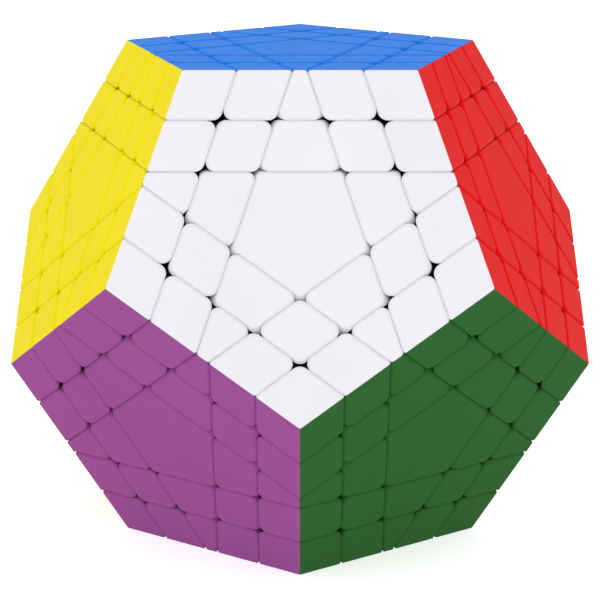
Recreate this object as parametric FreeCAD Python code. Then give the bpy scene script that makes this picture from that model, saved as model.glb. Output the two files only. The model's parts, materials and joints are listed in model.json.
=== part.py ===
"""Five-layer twisting dodecahedron: coloured tiles on footed pieces round a sprung core."""
import FreeCAD, Part
import math
import os
from FreeCAD import Placement, Rotation, Vector

# Outer body
ACROSS_FACES = 100.0
INRADIUS = ACROSS_FACES / 2
INRADIUS_PER_EDGE = 1.1135163644
EDGE_LENGTH = INRADIUS / INRADIUS_PER_EDGE
TILE_DEPTH = 5.0
TILE_BASE = INRADIUS - TILE_DEPTH

# Turning layers, measured down each face axis
CUT_PER_EDGE = 0.237
EDGE_TO_AXIS_ANGLE = 58.2825
LAYER_DEPTH = CUT_PER_EDGE * EDGE_LENGTH * math.sin(math.radians(EDGE_TO_AXIS_ANGLE))
LAYER_PLANE = {1: INRADIUS - LAYER_DEPTH, 2: INRADIUS - 2 * LAYER_DEPTH}
CLEARANCE = 0.1
CLEARANCE_ANGLE = 0.15

# Tile rounding
TILE_CORNER_RADIUS = 1.45
TILE_EDGE_RADIUS = 0.85

# Necks and feet: half angles of the turning cones round each face axis
NECK_ANGLE = {1: 39.8, 2: 48.5}
FOOT_ANGLE = {1: 44.0, 2: 53.5}
FOOT_TOP_RADIUS = 41.6
FACET_ANGLE = 12.0
FACETS_EACH_SIDE = 4

# Ball core
BALL_RADIUS = 38.0
BALL_WALL = 3.0
BALL_CLEARANCE = 0.15
LIP_HEIGHT = 1.2
LIP_INNER_RADIUS = 35.3
LIP_OUTER_RADIUS = 36.4
SPIDER_HUB_RADIUS = 11.0
SPIDER_ARM_RADIUS = 4.0

# Sprung screw under each centre tile
TOWER_RADIUS = 5.4
TOWER_TOP = 48.0
TOWER_BORE_RADIUS = 3.6
TOWER_FLOOR = 40.2
SHANK_RADIUS = 1.5
SHANK_HOLE_RADIUS = 1.7
SCREW_TIP = 18.0
SCREW_HEAD_RADIUS = 2.8
SCREW_HEAD_TOP = 47.0
SCREW_HEAD_HEIGHT = 1.8
DRIVE_SIDES = 6
DRIVE_RADIUS = 1.25
DRIVE_DEPTH = 1.1
WASHER_RADIUS = 3.2
WASHER_THICKNESS = 0.6
SPRING_RADIUS = 2.75
SPRING_WIRE_RADIUS = 0.3
SPRING_TURNS = 4
ARCS_PER_TURN = 4
CAP_CAVITY_RADIUS = 5.6
CAP_CAVITY_TOP = 48.2

SPACE = 300.0
TOLERANCE = 1e-4
OVERLAP = 1.0
ORIGIN = Vector(0, 0, 0)
UP = Vector(0, 0, 1)


def face_axis(azimuth, elevation):
    a, e = math.radians(azimuth), math.radians(elevation)
    return Vector(math.sin(a) * math.cos(e), -math.cos(a) * math.cos(e), math.sin(e))


# A dodecahedron: two opposite faces and two staggered rings of neighbours
RING_FACES = 5
STEP = 360 / RING_FACES
TILT = math.degrees(math.atan(0.5))
ADJACENT_ANGLE = 70.0
AXES = {"top": UP, "bottom": -UP}
for index in range(RING_FACES):
    AXES["upper_%d" % index] = face_axis(STEP * index, TILT)
    AXES["lower_%d" % index] = face_axis(STEP * index + STEP / 2, -TILT)

COLOURS = {
    "top": "blue", "upper_0": "white", "upper_1": "red", "upper_2": "pink",
    "upper_3": "lime", "upper_4": "yellow", "lower_0": "green", "lower_1": "cream",
    "lower_2": "grey", "lower_3": "orange", "lower_4": "purple", "bottom": "sky",
}
TURNING_FACES = ("top", "lower_4", "lower_1")

# Layers each kind of piece belongs to, named on the piece that touches the top face
KINDS = {
    "centre": {"top": 1},
    "t_centre": {"top": 1, "upper_0": 2},
    "x_centre": {"top": 1, "upper_0": 2, "upper_1": 2},
    "middle_edge": {"top": 1, "upper_0": 1},
    "wing": {"top": 1, "upper_0": 1, "upper_1": 2},
    "corner": {"top": 1, "upper_0": 1, "upper_1": 1},
}
# Second-layer axes pull the piece direction less than first-layer axes
T_PULL = 0.395
X_PULL = 0.372
WING_PULL = 0.469
PULLS = {
    "centre": {}, "t_centre": {"upper_0": T_PULL},
    "x_centre": {"upper_0": X_PULL, "upper_1": X_PULL},
    "middle_edge": {"upper_0": 1.0}, "wing": {"upper_0": 1.0, "upper_1": WING_PULL},
    "corner": {"upper_0": 1.0, "upper_1": 1.0},
}


def turned(shape, placement):
    copy = shape.copy()
    copy.Placement = placement.multiply(copy.Placement)
    return copy


def along(shape, direction):
    return turned(shape, Placement(ORIGIN, Rotation(UP, direction)))


def half_space(normal, distance):
    box = Part.makeBox(SPACE, SPACE, SPACE, Vector(-SPACE / 2, -SPACE / 2, distance - SPACE))
    return along(box, normal)


def clip(shape, planes):
    for normal, distance in planes:
        shape = shape.common(half_space(normal, distance))
    return shape


def adjacent(name):
    return [other for other in AXES
            if other != name and math.degrees(AXES[name].getAngle(AXES[other])) < ADJACENT_ANGLE]


def sideways(axis, direction):
    return (direction - axis * direction.dot(axis)).normalize()


def outside_cone(axis, angle, direction):
    """Plane touching the cone on the side of the piece; the piece lies beyond it."""
    a = math.radians(angle)
    normal = axis * math.sin(a) - sideways(axis, direction) * math.cos(a)
    return [(normal, 0.0)]


def inside_cone(axis, angle, direction):
    """Facets inscribed in the cone on the side of the piece."""
    if axis.getAngle(direction) < TOLERANCE:
        return []
    half_facet = math.radians(FACET_ANGLE / 2)
    a = math.atan(math.tan(math.radians(angle)) * math.cos(half_facet))
    planes = []
    for facet in range(-FACETS_EACH_SIDE, FACETS_EACH_SIDE + 1):
        side = Rotation(axis, facet * FACET_ANGLE).multVec(sideways(axis, direction))
        planes.append((side * math.cos(a) - axis * math.sin(a), 0.0))
    return planes


def piece_direction(kind):
    total = Vector(UP)
    for name, pull in PULLS[kind].items():
        total = total + AXES[name] * pull
    return total.normalize()


def bounding_layers(kind):
    """Layers the piece stays out of: the one above it, or the inner one of a neighbour face."""
    layers = KINDS[kind]
    bounds = []
    for name in adjacent("top"):
        if layers.get(name) == 2:
            bounds.append((name, 1))
        elif name not in layers:
            bounds.append((name, 2))
    return bounds


def cell_planes(kind):
    """Flat cuts between the turning layers, each backed off by the clearance."""
    planes = []
    for name, layer in KINDS[kind].items():
        planes.append((-AXES[name], -LAYER_PLANE[layer] - CLEARANCE))
    for name, layer in bounding_layers(kind):
        planes.append((AXES[name], LAYER_PLANE[layer] - CLEARANCE))
    return planes


def undercut_planes(kind, angles):
    """Slanted cuts that let the necks or feet of neighbouring layers sweep past."""
    direction = piece_direction(kind)
    planes = []
    for name, layer in bounding_layers(kind):
        planes += outside_cone(AXES[name], angles[layer] + CLEARANCE_ANGLE, direction)
    return planes


def shank_planes(kind, angles):
    """Sides of a neck or foot: inside its own layers, clear of everyone else's feet."""
    direction = piece_direction(kind)
    planes = undercut_planes(kind, FOOT_ANGLE)
    for name, layer in KINDS[kind].items():
        planes += inside_cone(AXES[name], angles[layer] - CLEARANCE_ANGLE, direction)
    return planes


def blank(direction):
    side = INRADIUS
    box = Part.makeBox(side, side, side, Vector(-side / 2, -side / 2, BALL_RADIUS / 2))
    return along(box, direction)


def footed_piece(kind):
    """Black inner piece: block under the tiles, neck and foot resting on the ball."""
    direction = piece_direction(kind)
    inner_faces = [(AXES[name], TILE_BASE) for name in ["top"] + adjacent("top")]
    start = clip(blank(direction), inner_faces)
    block = clip(start, cell_planes(kind) + undercut_planes(kind, NECK_ANGLE))
    neck = clip(start, shank_planes(kind, NECK_ANGLE))
    foot = clip(start, shank_planes(kind, FOOT_ANGLE))
    foot = foot.common(Part.makeSphere(FOOT_TOP_RADIUS - CLEARANCE))
    solid = block.fuse([neck, foot]).removeSplitter()
    return solid.cut(Part.makeSphere(BALL_RADIUS + BALL_CLEARANCE))


def on_mitre(point):
    height = point.z
    return any(abs(point.dot(AXES[name]) - height) < TOLERANCE for name in adjacent("top"))


def edge_middle(edge):
    return edge.valueAt((edge.FirstParameter + edge.LastParameter) / 2)


def rounded_tile(tile):
    """Round the upright corners, then the rim, leaving the edges of the body crisp."""
    upright = [edge for edge in tile.Edges
               if abs(edge.Vertexes[0].Z - edge.Vertexes[1].Z) > TILE_DEPTH / 2
               and not on_mitre(edge_middle(edge))]
    if upright:
        tile = tile.makeFillet(TILE_CORNER_RADIUS, upright)
    rim = [edge for edge in tile.Edges
           if abs(edge_middle(edge).z - INRADIUS) < TOLERANCE
           and abs(edge.Vertexes[0].Z - INRADIUS) < TOLERANCE
           and not on_mitre(edge_middle(edge))]
    return tile.makeFillet(TILE_EDGE_RADIUS, rim)


def tile(kind, mirrored=False):
    """Coloured shell of one piece on the top face."""
    planes = [(UP, INRADIUS), (-UP, -TILE_BASE)]
    for name in adjacent("top"):
        planes.append(((AXES[name] - UP).normalize(), 0.0))
    side = 2 * INRADIUS
    start = Part.makeBox(side, side, side, Vector(-side / 2, -side / 2, 0))
    shell = rounded_tile(clip(start, planes + cell_planes(kind)))
    shell = clip(shell, undercut_planes(kind, NECK_ANGLE))
    return shell.mirror(ORIGIN, Vector(1, 0, 0)) if mirrored else shell


def cylinder(radius, bottom, top):
    return Part.makeCylinder(radius, top - bottom, Vector(0, 0, bottom))


def sprung_hub():
    """Centre piece: the footed block with a tower that houses the spring and screw head."""
    tower = cylinder(TOWER_RADIUS, BALL_RADIUS - OVERLAP, TOWER_TOP)
    hub = footed_piece("centre").fuse(tower).removeSplitter()
    hub = hub.cut(Part.makeSphere(BALL_RADIUS + BALL_CLEARANCE))
    hub = hub.cut(cylinder(TOWER_BORE_RADIUS, TOWER_FLOOR, TOWER_TOP + OVERLAP))
    return hub.cut(cylinder(SHANK_HOLE_RADIUS, BALL_RADIUS - OVERLAP, TOWER_FLOOR + OVERLAP))


def centre_cap():
    """Centre tile, hollowed underneath to clear the tower."""
    return tile("centre").cut(cylinder(CAP_CAVITY_RADIUS, TILE_BASE - OVERLAP, CAP_CAVITY_TOP))


def screw():
    seat = SCREW_HEAD_TOP - SCREW_HEAD_HEIGHT
    body = cylinder(SHANK_RADIUS, SCREW_TIP, seat + OVERLAP)
    body = body.fuse(cylinder(SCREW_HEAD_RADIUS, seat, SCREW_HEAD_TOP)).removeSplitter()
    points = []
    for corner in range(DRIVE_SIDES + 1):
        a = 2 * math.pi * corner / DRIVE_SIDES
        x, y = DRIVE_RADIUS * math.cos(a), DRIVE_RADIUS * math.sin(a)
        points.append(Vector(x, y, SCREW_HEAD_TOP - DRIVE_DEPTH))
    socket = Part.Face(Part.makePolygon(points)).extrude(Vector(0, 0, DRIVE_DEPTH + OVERLAP))
    return body.cut(socket)


def washer():
    top = SCREW_HEAD_TOP - SCREW_HEAD_HEIGHT
    bottom = top - WASHER_THICKNESS
    return cylinder(WASHER_RADIUS, bottom, top).cut(cylinder(SHANK_HOLE_RADIUS, bottom, top))


def spring_point(turn):
    """Point on the coil's centre line after a number of turns."""
    a = 2 * math.pi * turn
    top = SCREW_HEAD_TOP - SCREW_HEAD_HEIGHT - WASHER_THICKNESS - SPRING_WIRE_RADIUS
    bottom = TOWER_FLOOR + SPRING_WIRE_RADIUS
    height = bottom + (top - bottom) * turn / SPRING_TURNS
    return Vector(SPRING_RADIUS * math.cos(a), SPRING_RADIUS * math.sin(a), height)


def spring():
    """Compressed coil between the tower floor and the washer, built from circular arcs."""
    arcs = []
    for arc in range(SPRING_TURNS * ARCS_PER_TURN):
        points = [spring_point((arc + part) / ARCS_PER_TURN) for part in (0, 0.5, 1)]
        arcs.append(Part.Arc(*points).toShape())
    start = arcs[0].tangentAt(arcs[0].FirstParameter)
    wire = Part.Wire(Part.makeCircle(SPRING_WIRE_RADIUS, spring_point(0), start))
    return Part.Wire(arcs).makePipeShell([wire], True, False)


def spider():
    """Twelve-armed centre of the core, drilled for the screws."""
    inside = BALL_RADIUS - BALL_WALL
    body = Part.makeSphere(SPIDER_HUB_RADIUS)
    for axis in AXES.values():
        body = body.fuse(along(cylinder(SPIDER_ARM_RADIUS, 0, BALL_RADIUS), axis))
    body = body.common(Part.makeSphere(inside))
    for axis in AXES.values():
        body = body.cut(along(cylinder(SHANK_RADIUS, SCREW_TIP, BALL_RADIUS), axis))
    return body


def ball_shells():
    """Two halves of the hollow ball, with a lip and groove round the split."""
    inside = BALL_RADIUS - BALL_WALL
    shell = Part.makeSphere(BALL_RADIUS).cut(Part.makeSphere(inside))
    for axis in AXES.values():
        shell = shell.cut(along(cylinder(SHANK_HOLE_RADIUS, SCREW_TIP, SPACE / 2), axis))
    upper = shell.common(half_space(-UP, 0))
    lower = shell.common(half_space(UP, 0))
    lip = cylinder(LIP_OUTER_RADIUS, -LIP_HEIGHT, LIP_HEIGHT)
    lip = lip.cut(cylinder(LIP_INNER_RADIUS, -LIP_HEIGHT, LIP_HEIGHT))
    groove = cylinder(LIP_OUTER_RADIUS + CLEARANCE, -LIP_HEIGHT - CLEARANCE, 0)
    groove = groove.cut(cylinder(LIP_INNER_RADIUS - CLEARANCE, -LIP_HEIGHT - CLEARANCE, 0))
    return upper.fuse(lip).removeSplitter(), lower.cut(groove)


def placements():
    """Every rotation that carries the top face and its first neighbour to another pair."""
    result = []
    for face in AXES:
        for neighbour in adjacent(face):
            y = -sideways(AXES[face], AXES[neighbour])
            z = AXES[face]
            result.append((face, Placement(ORIGIN, Rotation(y.cross(z), y, z, "ZXY"))))
    return result


def mapped(name, placement):
    direction = placement.Rotation.multVec(AXES[name])
    return min(AXES, key=lambda other: direction.getAngle(AXES[other]))


# Faces that a mirrored tile touches in place of the ones its kind names
MIRROR = {"top": "top", "upper_0": "upper_0", "upper_1": "upper_4"}


def body_of(kind, placement, mirrored=False):
    """Turning layer that carries a piece; pieces in no turning layer stay on the core."""
    for name, layer in KINDS[kind].items():
        face = mapped(MIRROR[name] if mirrored else name, placement)
        if face in TURNING_FACES:
            part = "face_layer" if layer == 1 else "second_layer"
            return "%s_%s" % (COLOURS[face], part)
    return None


def piece_key(kind, placement):
    """Layers of a placed piece, so that a piece shared by several faces is placed only once."""
    return frozenset((mapped(name, placement), layer) for name, layer in KINDS[kind].items())


FEET_NODES = {
    "centre": "centre_hubs", "t_centre": "t_centre_feet", "x_centre": "x_centre_feet",
    "middle_edge": "middle_edge_feet", "wing": "wing_feet", "corner": "corner_feet",
}


def gather_feet(nodes, frames):
    for kind in KINDS:
        shape = sprung_hub() if kind == "centre" else footed_piece(kind)
        done = set()
        for _, placement in frames:
            key = piece_key(kind, placement)
            if key in done:
                continue
            done.add(key)
            body = body_of(kind, placement)
            node = FEET_NODES[kind] if body is None else body + "_feet"
            nodes.setdefault(node, []).append(turned(shape, placement))


def gather_tiles(nodes, frames):
    for kind in KINDS:
        for mirrored in (False, True) if kind == "wing" else (False,):
            shape = centre_cap() if kind == "centre" else tile(kind, mirrored)
            done = set()
            for face, placement in frames:
                if kind == "centre" and face in done:
                    continue
                done.add(face)
                body = body_of(kind, placement, mirrored)
                prefix = "" if body is None else body + "_"
                node = "%s%s_tiles" % (prefix, COLOURS[face])
                nodes.setdefault(node, []).append(turned(shape, placement))


def gather_core(nodes):
    upper, lower = ball_shells()
    nodes["core_spider"] = [spider()]
    nodes["core_shell_upper"] = [upper]
    nodes["core_shell_lower"] = [lower]
    steel = {"axis_screws": screw(), "axis_washers": washer(), "axis_springs": spring()}
    for node, shape in steel.items():
        nodes[node] = [along(shape, axis) for axis in AXES.values()]


def main():
    nodes = {}
    frames = placements()
    gather_feet(nodes, frames)
    gather_tiles(nodes, frames)
    gather_core(nodes)
    os.makedirs("parts", exist_ok=True)
    for node, solids in nodes.items():
        Part.makeCompound(solids).exportStep("parts/%s.step" % node)
        print(node, len(solids), "solids", round(sum(solid.Volume for solid in solids), 1))


main()
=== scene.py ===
"""Five-layer twisting dodecahedron: glossy coloured tiles over black inner pieces."""
import json
import math

import bpy
import numpy as np
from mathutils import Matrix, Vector


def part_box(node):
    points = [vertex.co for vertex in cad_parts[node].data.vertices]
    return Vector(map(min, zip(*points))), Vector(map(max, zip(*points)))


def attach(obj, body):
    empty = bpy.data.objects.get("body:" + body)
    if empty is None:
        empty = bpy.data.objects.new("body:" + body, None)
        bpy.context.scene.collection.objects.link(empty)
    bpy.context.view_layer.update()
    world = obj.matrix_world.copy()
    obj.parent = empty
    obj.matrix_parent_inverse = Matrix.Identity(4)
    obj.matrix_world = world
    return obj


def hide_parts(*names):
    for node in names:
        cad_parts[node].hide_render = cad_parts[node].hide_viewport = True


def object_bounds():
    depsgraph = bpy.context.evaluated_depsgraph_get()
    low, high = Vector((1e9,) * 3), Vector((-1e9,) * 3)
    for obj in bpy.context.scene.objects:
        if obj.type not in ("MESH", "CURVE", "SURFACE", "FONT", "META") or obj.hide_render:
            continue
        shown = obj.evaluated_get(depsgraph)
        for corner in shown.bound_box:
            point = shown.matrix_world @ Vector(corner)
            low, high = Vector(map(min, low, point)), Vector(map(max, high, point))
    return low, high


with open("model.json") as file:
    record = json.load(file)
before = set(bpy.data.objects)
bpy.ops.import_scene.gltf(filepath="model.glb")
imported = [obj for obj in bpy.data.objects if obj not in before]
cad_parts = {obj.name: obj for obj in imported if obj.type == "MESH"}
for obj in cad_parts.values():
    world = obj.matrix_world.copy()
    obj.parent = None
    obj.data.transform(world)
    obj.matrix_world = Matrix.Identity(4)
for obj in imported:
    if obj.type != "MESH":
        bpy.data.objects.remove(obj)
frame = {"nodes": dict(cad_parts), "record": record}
CAD_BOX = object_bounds()

MM = 0.001

# Layer planes down each face axis, and the shells that the tiles are cut from
INRADIUS = CAD_BOX[1].z
TILE_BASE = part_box("blue_face_layer_blue_tiles")[0].z
INRADIUS_PER_EDGE = 1.1135163644
EDGE_LENGTH = INRADIUS / INRADIUS_PER_EDGE
CUT_PER_EDGE = 0.237
EDGE_TO_AXIS_ANGLE = math.radians(58.2825)
LAYER_DEPTH = CUT_PER_EDGE * EDGE_LENGTH * math.sin(EDGE_TO_AXIS_ANGLE)
LAYER_PLANE = {1: INRADIUS - LAYER_DEPTH, 2: INRADIUS - 2 * LAYER_DEPTH}
CLEARANCE = 0.005 * MM
NECK_CLEAR_ANGLE = {1: math.radians(39.95), 2: math.radians(48.65)}

# Layer number of a tile that lies deeper than the turning layers of a face
UNCUT = 3

# Tile rounding: soft along the cuts, crisp along the edges of the body
RIM_RADIUS = 1.0 * MM
RIM_START = math.radians(35)
CRISP_RADIUS = 0.08 * MM
CORNER_RADIUS = 2.0 * MM
CRISP_CORNER_RADIUS = 0.45 * MM
SMALLEST_RADIUS = 0.05 * MM
CORNER_SHRINK = 0.6
PARALLEL = 0.999
RIM_STEPS = 6
CORNER_STEPS = 8

TILT = math.atan(0.5)
FACE_ANGLE = math.pi / 2 - TILT
MITRE_LEAN = -FACE_ANGLE / 2
TOLERANCE = 1e-7

RING_FACES = 5
STEP = 360 / RING_FACES


def face_axis(azimuth, elevation):
    a = math.radians(azimuth)
    flat = math.cos(elevation)
    return np.array([math.sin(a) * flat, -math.cos(a) * flat, math.sin(elevation)])


AXES = {"top": np.array([0.0, 0.0, 1.0]), "bottom": np.array([0.0, 0.0, -1.0])}
for index in range(RING_FACES):
    AXES["upper_%d" % index] = face_axis(STEP * index, TILT)
    AXES["lower_%d" % index] = face_axis(STEP * index + STEP / 2, -TILT)

COLOUR_OF = {
    "top": "blue", "upper_0": "white", "upper_1": "red", "upper_2": "pink",
    "upper_3": "lime", "upper_4": "yellow", "lower_0": "green", "lower_1": "cream",
    "lower_2": "grey", "lower_3": "orange", "lower_4": "purple", "bottom": "sky",
}
TURNING_FACES = ("top", "lower_4", "lower_1")

# Layers of the neighbouring faces that each kind of tile on the top face lies in
KINDS = {
    "centre": {},
    "t_centre": {"upper_0": 2},
    "x_centre": {"upper_0": 2, "upper_1": 2},
    "middle_edge": {"upper_0": 1},
    "right_wing": {"upper_0": 1, "upper_1": 2},
    "left_wing": {"upper_0": 1, "upper_4": 2},
    "corner": {"upper_0": 1, "upper_1": 1},
}


def adjacent(name):
    cosine = math.cos(FACE_ANGLE)
    return [other for other in AXES if abs(AXES[name] @ AXES[other] - cosine) < TOLERANCE]


class Side:
    """One wall of a tile: a plane that leans by an angle and is rounded into the top face."""

    def __init__(self, outward, lean, reach, radius, undercut=None):
        self.outward = outward
        self.lean = lean
        self.reach = reach
        self.radius = radius
        self.heading = math.atan2(outward[1], outward[0])
        self.slope = math.inf if undercut is None else math.tan(FACE_ANGLE - undercut)

    def across(self, height):
        """Distance of the wall from the face axis at one height."""
        return (self.reach - math.sin(self.lean) * height) / math.cos(self.lean)

    def limit(self, height):
        """How far out the tile may reach at one height, above the undercut too."""
        return min(self.across(height), height * self.slope)

    def profile(self):
        """Points (distance, height, lean of the normal) from the tile's base to its top."""
        if math.isinf(self.slope):
            knee = (TILE_BASE + INRADIUS) / 2
            base = self.across(TILE_BASE)
        else:
            knee = self.reach / (math.sin(self.lean) + self.slope * math.cos(self.lean))
            base = TILE_BASE * self.slope
        points = [(base, TILE_BASE, self.lean), (self.across(knee), knee, self.lean)]
        start = max(self.lean, RIM_START)
        centre_z = INRADIUS - self.radius
        rim_foot = self.across(centre_z + self.radius * math.sin(start))
        centre_x = rim_foot - self.radius * math.cos(start)
        for angle in np.linspace(start, math.pi / 2, RIM_STEPS + 1):
            x = centre_x + self.radius * math.cos(angle)
            points.append((x, centre_z + self.radius * math.sin(angle), angle))
        return points


def tile_sides(kind):
    """Every wall that a kind of tile could have, whether or not it bounds the top face."""
    sides = []
    for name in adjacent("top"):
        outward = AXES[name][:2] / np.linalg.norm(AXES[name][:2])
        layer = KINDS[kind].get(name, UNCUT)
        if layer == 1:
            sides.append(Side(outward, MITRE_LEAN, 0.0, CRISP_RADIUS))
        else:
            reach = LAYER_PLANE[layer - 1] - CLEARANCE
            sides.append(Side(outward, TILT, reach, RIM_RADIUS, NECK_CLEAR_ANGLE[layer - 1]))
        if layer < UNCUT:
            sides.append(Side(-outward, -TILT, -LAYER_PLANE[layer] - CLEARANCE, RIM_RADIUS))
    return sides


def meeting(first, second, reaches):
    """Where two walls cross, given how far out each one is."""
    return np.linalg.solve(np.array([first.outward, second.outward]), np.array(reaches))


def bounding(sides):
    """The walls that really bound the outline, in order round it."""
    top = {side: side.across(INRADIUS) for side in sides}
    corners = {side: 0 for side in sides}
    for i, first in enumerate(sides):
        for second in sides[i + 1:]:
            if abs(first.outward @ second.outward) > PARALLEL:
                continue
            point = meeting(first, second, (top[first], top[second]))
            if all(other.outward @ point < top[other] + TOLERANCE for other in sides):
                corners[first] += 1
                corners[second] += 1
    return sorted((side for side in sides if corners[side] > 1), key=lambda side: side.heading)


def corner_points(first, second, level, widest):
    """Rounded corner between two walls at one level: positions and normals along the arc."""
    (x1, z1, lean1), (x2, z2, lean2) = first[1][level], second[1][level]
    n1, n2 = first[0].outward, second[0].outward
    crisp = CRISP_RADIUS in (first[0].radius, second[0].radius)
    inset = (widest[0] - x1 + widest[1] - x2) / 2
    full_radius = CRISP_CORNER_RADIUS if crisp else CORNER_RADIUS
    radius = max(full_radius - CORNER_SHRINK * inset, SMALLEST_RADIUS)
    centre = meeting(first[0], second[0], (x1 - radius, x2 - radius))
    turn = math.acos(np.clip(n1 @ n2, -1, 1))
    points, normals = [], []
    for t in np.linspace(0, 1, CORNER_STEPS + 1):
        heading = first[0].heading + t * turn
        out = np.array([math.cos(heading), math.sin(heading)])
        lean = lean1 + t * (lean2 - lean1)
        points.append([*(centre + radius * out), z1 + t * (z2 - z1)])
        normals.append([*(out * math.cos(lean)), math.sin(lean)])
    return points, normals


def held_inside(point, sides):
    """Point drawn in where it would cross a cut that only meets the foot of the tile."""
    for side in sides:
        excess = side.outward @ point[:2] - side.limit(point[2])
        if excess > 0:
            point[:2] -= excess * side.outward
    return point


def tile_mesh(kind):
    """Vertices, faces and vertex normals of one kind of tile, on the top face."""
    sides = tile_sides(kind)
    walls = [(side, side.profile()) for side in bounding(sides)]
    levels = len(walls[0][1])
    points, normals = [], []
    for level in range(levels):
        for wall, following in zip(walls, walls[1:] + walls[:1]):
            widest = [max(x for x, _, _ in profile) for _, profile in (wall, following)]
            arc, arc_normals = corner_points(wall, following, level, widest)
            points += [held_inside(np.array(point), sides) for point in arc]
            normals += arc_normals
    ring = len(points) // levels
    faces = [list(range(ring))[::-1], list(range((levels - 1) * ring, levels * ring))]
    for level in range(levels - 1):
        for i in range(ring):
            a, b = level * ring + i, level * ring + (i + 1) % ring
            faces.append([a, b, b + ring, a + ring])
    return np.array(points), faces, np.array(normals)


def rotations():
    """Rotations that carry the top face and its first neighbour to every other pair."""
    for face in AXES:
        for neighbour in adjacent(face):
            up = AXES[face]
            sideways = AXES[neighbour] - up * (up @ AXES[neighbour])
            back = -sideways / np.linalg.norm(sideways)
            yield face, np.column_stack([np.cross(back, up), back, up])


def nearest_axis(direction):
    return max(AXES, key=lambda name: AXES[name] @ direction)


def layer_of(kind, face, rotation):
    """Body that carries a tile: a turning layer, or the core for the rest."""
    layers = {face: 1}
    for name, layer in KINDS[kind].items():
        layers[nearest_axis(rotation @ AXES[name])] = layer
    for name in TURNING_FACES:
        if name in layers:
            part = "face_layer" if layers[name] == 1 else "second_layer"
            return "%s_%s" % (COLOUR_OF[name], part)
    return "core"


def gather_tiles():
    """Tile meshes sorted by the CAD node that they stand for."""
    groups = {}
    for kind in KINDS:
        points, faces, normals = tile_mesh(kind)
        seen = set()
        for face, rotation in rotations():
            if kind == "centre" and face in seen:
                continue
            seen.add(face)
            key = (layer_of(kind, face, rotation), COLOUR_OF[face])
            groups.setdefault(key, []).append((points @ rotation.T, faces, normals @ rotation.T))
    return groups


def joined_mesh(name, tiles):
    points = np.vstack([tile[0] for tile in tiles])
    normals = np.vstack([tile[2] for tile in tiles])
    faces, start = [], 0
    for tile_points, tile_faces, _ in tiles:
        faces += [[start + i for i in face] for face in tile_faces]
        start += len(tile_points)
    mesh = bpy.data.meshes.new(name)
    mesh.from_pydata(points.tolist(), [], faces)
    mesh.shade_smooth()
    mesh.normals_split_custom_set_from_vertices(normals.tolist())
    return mesh


def build_tiles(materials):
    for (body, colour), tiles in gather_tiles().items():
        node = "%s_tiles" % colour if body == "core" else "%s_%s_tiles" % (body, colour)
        mesh = joined_mesh("tile_set_" + node, tiles)
        mesh.materials.append(materials[colour])
        piece = bpy.data.objects.new("shells_" + node, mesh)
        bpy.context.scene.collection.objects.link(piece)
        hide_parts(node)
        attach(piece, body)


# Scale and detail of the noise behind each surface effect
DRIFT_NOISE = (45, 2)
GLOSS_NOISE = (320, 4)
GRAIN_NOISE = (2600, 3)
COLOUR_DRIFT = 0.04
ROUGHNESS_DRIFT = 0.05
GRAIN_DEPTH = 0.02 * MM
TILE_SPECULAR = 0.015
INNER_SPECULAR = 0.12


def linked_noise(tree, scale, detail):
    """Noise in object space, so that it stays on the surface in every view."""
    place = tree.nodes.new("ShaderNodeTexCoord")
    noise = tree.nodes.new("ShaderNodeTexNoise")
    noise.inputs["Scale"].default_value = scale
    noise.inputs["Detail"].default_value = detail
    tree.links.new(place.outputs["Object"], noise.inputs["Vector"])
    return noise.outputs["Fac"]


def moulded_plastic(name, colour, roughness, grain, specular=INNER_SPECULAR):
    """Injection-moulded plastic: faint colour drift, uneven gloss and a fine moulded grain."""
    material = bpy.data.materials.new(name)
    material.use_nodes = True
    tree = material.node_tree
    shader = tree.nodes["Principled BSDF"]
    shader.inputs["Specular IOR Level"].default_value = specular

    drift = tree.nodes.new("ShaderNodeMix")
    drift.data_type = "RGBA"
    drift.inputs["A"].default_value = [c * (1 - COLOUR_DRIFT) for c in colour] + [1]
    drift.inputs["B"].default_value = [min(c * (1 + COLOUR_DRIFT), 1) for c in colour] + [1]
    tree.links.new(linked_noise(tree, *DRIFT_NOISE), drift.inputs["Factor"])
    tree.links.new(drift.outputs["Result"], shader.inputs["Base Color"])

    rough = tree.nodes.new("ShaderNodeMapRange")
    rough.inputs["To Min"].default_value = roughness - ROUGHNESS_DRIFT
    rough.inputs["To Max"].default_value = roughness + ROUGHNESS_DRIFT
    tree.links.new(linked_noise(tree, *GLOSS_NOISE), rough.inputs["Value"])
    tree.links.new(rough.outputs["Result"], shader.inputs["Roughness"])

    bump = tree.nodes.new("ShaderNodeBump")
    bump.inputs["Strength"].default_value = grain
    bump.inputs["Distance"].default_value = GRAIN_DEPTH
    tree.links.new(linked_noise(tree, *GRAIN_NOISE), bump.inputs["Height"])
    tree.links.new(bump.outputs["Normal"], shader.inputs["Normal"])
    return material


def brushed_steel(name):
    material = moulded_plastic(name, (0.62, 0.62, 0.63), roughness=0.3, grain=0.25)
    material.node_tree.nodes["Principled BSDF"].inputs["Metallic"].default_value = 1.0
    return material


TILE_COLOURS = {
    "blue": (0.004, 0.155, 0.62),
    "white": (0.585, 0.577, 0.606),
    "red": (0.59, 0.004, 0.004),
    "pink": (0.7, 0.21, 0.35),
    "lime": (0.31, 0.58, 0.05),
    "yellow": (0.678, 0.563, 0.0),
    "green": (0.019, 0.09, 0.019),
    "cream": (0.7, 0.6, 0.35),
    "grey": (0.24, 0.25, 0.26),
    "orange": (0.72, 0.16, 0.006),
    "purple": (0.229, 0.056, 0.209),
    "sky": (0.13, 0.42, 0.66),
}


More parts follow.
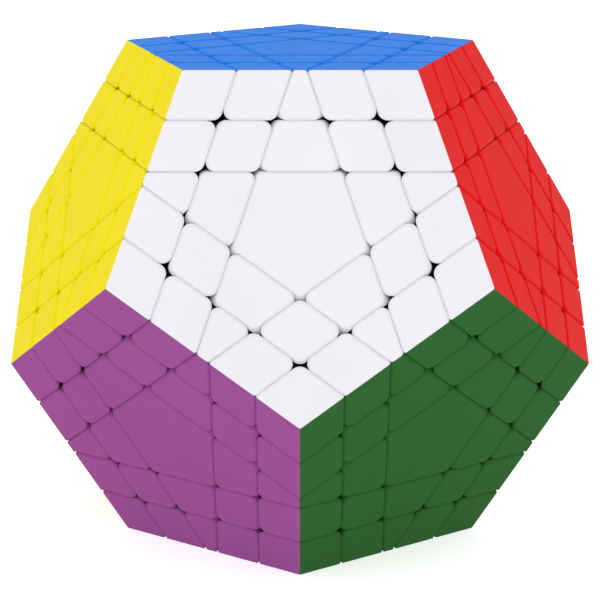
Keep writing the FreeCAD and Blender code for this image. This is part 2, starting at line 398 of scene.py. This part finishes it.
def make_materials():
    materials = {
        name: moulded_plastic("tile_" + name, colour, roughness=0.4, grain=0.25,
                              specular=TILE_SPECULAR)
        for name, colour in TILE_COLOURS.items()
    }
    materials["inner_black"] = moulded_plastic(
        "inner_black", (0.012, 0.012, 0.014), roughness=0.42, grain=0.5)
    materials["core_plastic"] = moulded_plastic(
        "core_plastic", (0.03, 0.03, 0.034), roughness=0.48, grain=0.5)
    materials["spring_steel"] = brushed_steel("spring_steel")
    return materials


def dress_inner_nodes(materials):
    """Inner pieces keep their CAD shape and take a finished material."""
    for part in frame["record"]["subparts"]:
        node = part["node"]
        if node.endswith("_tiles"):
            continue
        mesh = frame["nodes"][node].data
        mesh.materials.clear()
        mesh.materials.append(materials[part["material_slot"]])


FLOOR_REACH = 6.0
FLOOR_COLOUR = (0.7, 0.7, 0.7, 1)
FLOOR_ROUGHNESS = 0.9
FLOOR_GLOW = 0.6
WHITE = (1, 1, 1, 1)


def build_floor():
    """Pale paper lit from below, so that the lower faces are as bright as the upper ones."""
    mesh = bpy.data.meshes.new("floor")
    r = FLOOR_REACH
    corners = [(-r, -r), (r, -r), (r, r), (-r, r)]
    mesh.from_pydata([(x, y, -INRADIUS) for x, y in corners], [], [(0, 1, 2, 3)])
    material = bpy.data.materials.new("floor_paper")
    material.use_nodes = True
    shader = material.node_tree.nodes["Principled BSDF"]
    shader.inputs["Base Color"].default_value = FLOOR_COLOUR
    shader.inputs["Roughness"].default_value = FLOOR_ROUGHNESS
    shader.inputs["Emission Color"].default_value = WHITE
    shader.inputs["Emission Strength"].default_value = FLOOR_GLOW
    mesh.materials.append(material)
    floor = bpy.data.objects.new("floor", mesh)
    bpy.context.scene.collection.objects.link(floor)


def aim(obj, place, target):
    obj.location = place
    obj.rotation_euler = (Vector(target) - Vector(place)).to_track_quat("-Z", "Y").to_euler()
    bpy.context.scene.collection.objects.link(obj)


def area_light(name, place, size, power):
    """Round soft light aimed at the middle of the object."""
    light = bpy.data.lights.new(name, "AREA")
    light.shape = "DISK"
    light.size = size
    light.energy = power
    aim(bpy.data.objects.new(name, light), place, (0, 0, 0))


def build_light():
    world = bpy.data.worlds.new("studio")
    bpy.context.scene.world = world
    world.use_nodes = True
    world.node_tree.nodes["Background"].inputs["Color"].default_value = WHITE
    world.node_tree.nodes["Background"].inputs["Strength"].default_value = 1.0
    area_light("key", place=(-0.1, -0.3, 0.8), size=0.6, power=1.8)
    area_light("low_fill", place=(0, -0.9, 0.05), size=0.5, power=2.4)


SENSOR_WIDTH = 36
CAMERA_DISTANCE = 0.44857
CAMERA_RISE = math.radians(14.21)
CAMERA_LENS = 127.87
AIM_DROP = 0.00339


def build_camera():
    camera = bpy.data.cameras.new("camera")
    camera.sensor_width = SENSOR_WIDTH
    camera.lens = CAMERA_LENS
    obj = bpy.data.objects.new("camera", camera)
    flat = CAMERA_DISTANCE * math.cos(CAMERA_RISE)
    aim(obj, (0, -flat, CAMERA_DISTANCE * math.sin(CAMERA_RISE)), (0, 0, -AIM_DROP))
    bpy.context.scene.camera = obj


materials = make_materials()
build_tiles(materials)
dress_inner_nodes(materials)
build_floor()
build_light()
build_camera()
bpy.context.scene.view_settings.view_transform = "Standard"
